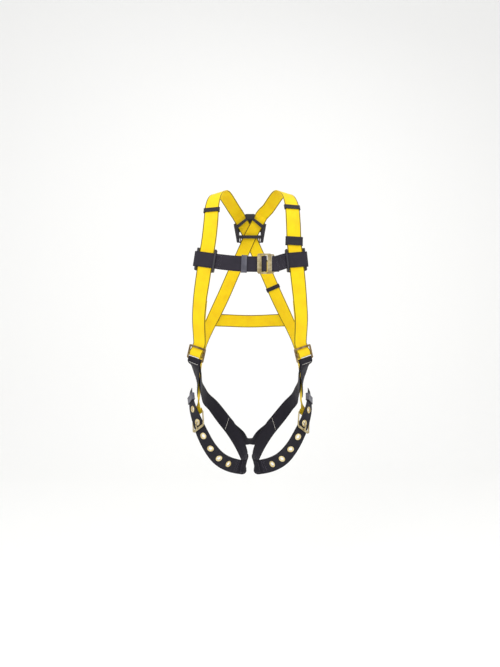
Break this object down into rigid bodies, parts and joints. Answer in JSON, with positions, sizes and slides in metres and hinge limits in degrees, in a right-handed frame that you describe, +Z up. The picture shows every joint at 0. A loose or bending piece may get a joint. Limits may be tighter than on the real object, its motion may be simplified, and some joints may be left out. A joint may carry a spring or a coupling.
{
  "type": "full-body safety harness",
  "caption": "Worn-shape webbing fall-arrest harness with crossed back straps, dorsal ring, chest buckle, hip adjusters and leg loops with tongue buckles.",
  "frame": {"origin": "midway between the shoulder straps' tops, at their height", "axes": "+X to the wearer's left, -Y to the wearer's front, +Z up"},
  "size_m": [0.4056, 0.319, 0.9307],
  "materials": {
    "yellow_webbing": "woven, matte",
    "black_webbing": "woven, matte",
    "black_elastic": "woven elastic, matte",
    "black_plastic": "moulded, fine texture",
    "grey_plastic": "moulded, satin",
    "zinc_steel": "yellow-tinted zinc plate",
    "brass": "plated eyelet, soft gloss"
  },
  "bodies": {
    "harness": {"back_waist_strap": "yellow_webbing", "dorsal_pad": "black_plastic", "grommet_left_1": "brass", "grommet_left_2": "brass", "grommet_left_3": "brass", "grommet_left_4": "brass", "grommet_left_5": "brass", "grommet_left_6": "brass", "grommet_right_1": "brass", "grommet_right_2": "brass", "grommet_right_3": "brass", "grommet_right_4": "brass", "grommet_right_5": "brass", "grommet_right_6": "brass", "grommet_strap_left": "black_webbing", "grommet_strap_right": "black_webbing", "hip_adjuster_frame_left": "zinc_steel", "hip_adjuster_frame_right": "zinc_steel", "hip_link_strap_left": "black_webbing", "hip_link_strap_right": "black_webbing", "leg_buckle_frame_left": "zinc_steel", "leg_buckle_frame_right": "zinc_steel", "rear_leg_strap_left": "black_webbing", "rear_leg_strap_right": "black_webbing", "sub_pelvic_strap": "black_webbing", "torso_strap_left": "yellow_webbing", "torso_strap_right": "yellow_webbing"},
    "dorsal_d_ring": {"dorsal_d_ring": "zinc_steel"},
    "chest_band": {"chest_guide_left": "black_plastic", "chest_guide_right": "black_plastic", "chest_strap_left": "black_webbing", "chest_strap_right": "black_webbing", "chest_buckle_frame": "zinc_steel", "chest_buckle_plate": "zinc_steel"},
    "chest_tail_slider": {"chest_tail_slider": "grey_plastic"},
    "lanyard_keeper": {"lanyard_keeper": "black_elastic"},
    "back_strap_keeper": {"back_strap_keeper": "black_elastic"},
    "hip_slide_bar_left": {"hip_slide_bar_left": "zinc_steel"},
    "leg_roller_left": {"leg_buckle_roller_left": "zinc_steel"},
    "leg_prong_left": {"leg_buckle_prong_left": "zinc_steel"},
    "shoulder_keeper_left": {"shoulder_keeper_left": "black_elastic"},
    "leg_keeper_left": {"leg_keeper_left": "grey_plastic"},
    "hip_slide_bar_right": {"hip_slide_bar_right": "zinc_steel"},
    "leg_roller_right": {"leg_buckle_roller_right": "zinc_steel"},
    "leg_prong_right": {"leg_buckle_prong_right": "zinc_steel"},
    "shoulder_keeper_right": {"shoulder_keeper_right": "black_elastic"},
    "leg_keeper_right": {"leg_keeper_right": "grey_plastic"}
  },
  "joints": [
    {"name": "dorsal_d_ring_hinge", "type": "hinge", "parent": "harness", "child": "dorsal_d_ring", "pos_m": [0, 0.11314, -0.12329], "axis": [1, 0, 0], "range_deg": [0, 86]},
    {"name": "chest_band_slide", "type": "slide", "parent": "harness", "child": "chest_band", "axis": [0, 0, 1], "range_m": [-0.015, 0.004]},
    {"name": "chest_tail_slider_slide", "type": "slide", "parent": "chest_band", "child": "chest_tail_slider", "axis": [0.9988, -0.03, -0.04], "range_m": [-0.009, 0.014]},
    {"name": "hip_slide_bar_left_slide", "type": "slide", "parent": "harness", "child": "hip_slide_bar_left", "axis": [0.231, 0.1168, -0.9659], "range_m": [0, 0.003]},
    {"name": "hip_slide_bar_right_slide", "type": "slide", "parent": "harness", "child": "hip_slide_bar_right", "axis": [-0.231, 0.1168, -0.9659], "range_m": [0, 0.003]},
    {"name": "leg_roller_left_spin", "type": "hinge", "parent": "harness", "child": "leg_roller_left", "pos_m": [0.16275, -0.09482, -0.7608], "axis": [-0.6512, -0.5189, 0.5538], "continuous": true},
    {"name": "leg_roller_right_spin", "type": "hinge", "parent": "harness", "child": "leg_roller_right", "pos_m": [-0.15763, -0.09366, -0.75792], "axis": [-0.6396, 0.5284, -0.5583], "continuous": true},
    {"name": "leg_prong_left_hinge", "type": "hinge", "parent": "harness", "child": "leg_prong_left", "pos_m": [0.16918, -0.06357, -0.72396], "axis": [-0.6512, -0.5189, 0.5538], "range_deg": [0, 2.5]},
    {"name": "leg_prong_right_hinge", "type": "hinge", "parent": "harness", "child": "leg_prong_right", "pos_m": [-0.16366, -0.06218, -0.72122], "axis": [-0.6396, 0.5284, -0.5583], "range_deg": [0, 2.5]},
    {"name": "shoulder_keeper_left_slide", "type": "slide", "parent": "harness", "child": "shoulder_keeper_left", "axis": [-0.0617, 0.4627, 0.8843], "range_m": [-0.007, 0.007]},
    {"name": "shoulder_keeper_right_slide", "type": "slide", "parent": "harness", "child": "shoulder_keeper_right", "axis": [0.022, 0.4246, 0.9051], "range_m": [-0.007, 0.007]},
    {"name": "lanyard_keeper_slide", "type": "slide", "parent": "harness", "child": "lanyard_keeper", "axis": [-0.0712, 0.0471, 0.9963], "range_m": [0, 0.015]},
    {"name": "back_strap_keeper_slide", "type": "slide", "parent": "harness", "child": "back_strap_keeper", "axis": [0.3843, -0.1236, -0.9149], "range_m": [-0.01, 0.01]},
    {"name": "leg_keeper_left_slide", "type": "slide", "parent": "harness", "child": "leg_keeper_left", "axis": [0.0638, 0.4626, 0.8842], "range_m": [-0.003, 0.003]},
    {"name": "leg_keeper_right_slide", "type": "slide", "parent": "harness", "child": "leg_keeper_right", "axis": [-0.1685, 0.4568, 0.8735], "range_m": [-0.003, 0.003]}
  ]
}
